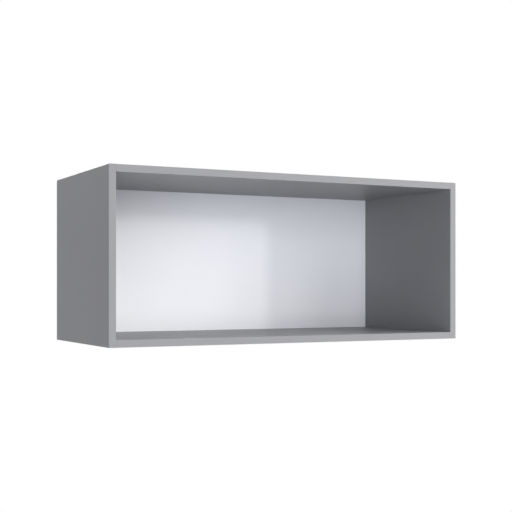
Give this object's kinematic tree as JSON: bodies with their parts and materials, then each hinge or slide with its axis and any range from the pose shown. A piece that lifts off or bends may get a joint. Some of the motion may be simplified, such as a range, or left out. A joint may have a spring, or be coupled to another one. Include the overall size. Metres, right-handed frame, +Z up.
{
  "type": "kitchen wall cabinet",
  "caption": "Wide, low kitchen wall cabinet, open at the front, of grey laminated board with a white back panel, cam fittings and keyhole hanger plates.",
  "frame": {"origin": "centre of the cabinet's underside", "axes": "+X along the width to the right seen from the front, +Y towards the wall, +Z up"},
  "size_m": [0.9, 0.38, 0.384],
  "materials": {
    "laminated_board": "satin grey melamine on chipboard",
    "edge_band": "satin grey plastic band",
    "back_hardboard": "white lacquered hardboard",
    "zinc_cam": "die-cast zinc",
    "steel_fitting": "bright zinc-plated steel",
    "dowel_beech": "plain beech"
  },
  "bodies": {
    "carcass": {"back_nail_bottom_1": "steel_fitting", "back_nail_bottom_2": "steel_fitting", "back_nail_bottom_3": "steel_fitting", "back_nail_bottom_4": "steel_fitting", "back_nail_bottom_5": "steel_fitting", "back_nail_bottom_6": "steel_fitting", "back_nail_left_1": "steel_fitting", "back_nail_left_2": "steel_fitting", "back_nail_right_1": "steel_fitting", "back_nail_right_2": "steel_fitting", "back_nail_top_1": "steel_fitting", "back_nail_top_2": "steel_fitting", "back_nail_top_3": "steel_fitting", "back_nail_top_4": "steel_fitting", "back_nail_top_5": "steel_fitting", "back_nail_top_6": "steel_fitting", "back_panel": "back_hardboard", "bottom_panel": "laminated_board", "bottom_panel_front_band": "edge_band", "cam_bolt_bottom_left_front": "steel_fitting", "cam_bolt_bottom_left_rear": "steel_fitting", "cam_bolt_bottom_right_front": "steel_fitting", "cam_bolt_bottom_right_rear": "steel_fitting", "cam_bolt_top_left_front": "steel_fitting", "cam_bolt_top_left_rear": "steel_fitting", "cam_bolt_top_right_front": "steel_fitting", "cam_bolt_top_right_rear": "steel_fitting", "dowel_bottom_left_front": "dowel_beech", "dowel_bottom_left_rear": "dowel_beech", "dowel_bottom_right_front": "dowel_beech", "dowel_bottom_right_rear": "dowel_beech", "dowel_top_left_front": "dowel_beech", "dowel_top_left_rear": "dowel_beech", "dowel_top_right_front": "dowel_beech", "dowel_top_right_rear": "dowel_beech", "hanger_plate_left": "steel_fitting", "hanger_plate_right": "steel_fitting", "hanger_screw_left_lower": "steel_fitting", "hanger_screw_left_upper": "steel_fitting", "hanger_screw_right_lower": "steel_fitting", "hanger_screw_right_upper": "steel_fitting", "left_side": "laminated_board", "left_side_front_band": "edge_band", "left_side_lower_band": "edge_band", "left_side_upper_band": "edge_band", "right_side": "laminated_board", "right_side_front_band": "edge_band", "right_side_lower_band": "edge_band", "right_side_upper_band": "edge_band", "top_panel": "laminated_board", "top_panel_front_band": "edge_band"},
    "cam_bottom_left_front": {"cam_bottom_left_front": "zinc_cam"},
    "cam_bottom_left_rear": {"cam_bottom_left_rear": "zinc_cam"},
    "cam_bottom_right_front": {"cam_bottom_right_front": "zinc_cam"},
    "cam_bottom_right_rear": {"cam_bottom_right_rear": "zinc_cam"},
    "cam_top_left_front": {"cam_top_left_front": "zinc_cam"},
    "cam_top_left_rear": {"cam_top_left_rear": "zinc_cam"},
    "cam_top_right_front": {"cam_top_right_front": "zinc_cam"},
    "cam_top_right_rear": {"cam_top_right_rear": "zinc_cam"}
  },
  "joints": [
    {"name": "cam_bottom_left_front_turn", "type": "hinge", "parent": "carcass", "child": "cam_bottom_left_front", "pos_m": [-0.4, -0.1389, 0.008], "axis": [0, 0, -1], "range_deg": [0, 180]},
    {"name": "cam_bottom_left_rear_turn", "type": "hinge", "parent": "carcass", "child": "cam_bottom_left_rear", "pos_m": [-0.4, 0.1369, 0.008], "axis": [0, 0, -1], "range_deg": [0, 180]},
    {"name": "cam_bottom_right_front_turn", "type": "hinge", "parent": "carcass", "child": "cam_bottom_right_front", "pos_m": [0.4, -0.1389, 0.008], "axis": [0, 0, -1], "range_deg": [0, 180]},
    {"name": "cam_bottom_right_rear_turn", "type": "hinge", "parent": "carcass", "child": "cam_bottom_right_rear", "pos_m": [0.4, 0.1369, 0.008], "axis": [0, 0, -1], "range_deg": [0, 180]},
    {"name": "cam_top_left_front_turn", "type": "hinge", "parent": "carcass", "child": "cam_top_left_front", "pos_m": [-0.4, -0.1389, 0.376], "axis": [0, 0, 1], "range_deg": [0, 180]},
    {"name": "cam_top_left_rear_turn", "type": "hinge", "parent": "carcass", "child": "cam_top_left_rear", "pos_m": [-0.4, 0.1369, 0.376], "axis": [0, 0, 1], "range_deg": [0, 180]},
    {"name": "cam_top_right_front_turn", "type": "hinge", "parent": "carcass", "child": "cam_top_right_front", "pos_m": [0.4, -0.1389, 0.376], "axis": [0, 0, 1], "range_deg": [0, 180]},
    {"name": "cam_top_right_rear_turn", "type": "hinge", "parent": "carcass", "child": "cam_top_right_rear", "pos_m": [0.4, 0.1369, 0.376], "axis": [0, 0, 1], "range_deg": [0, 180]}
  ]
}
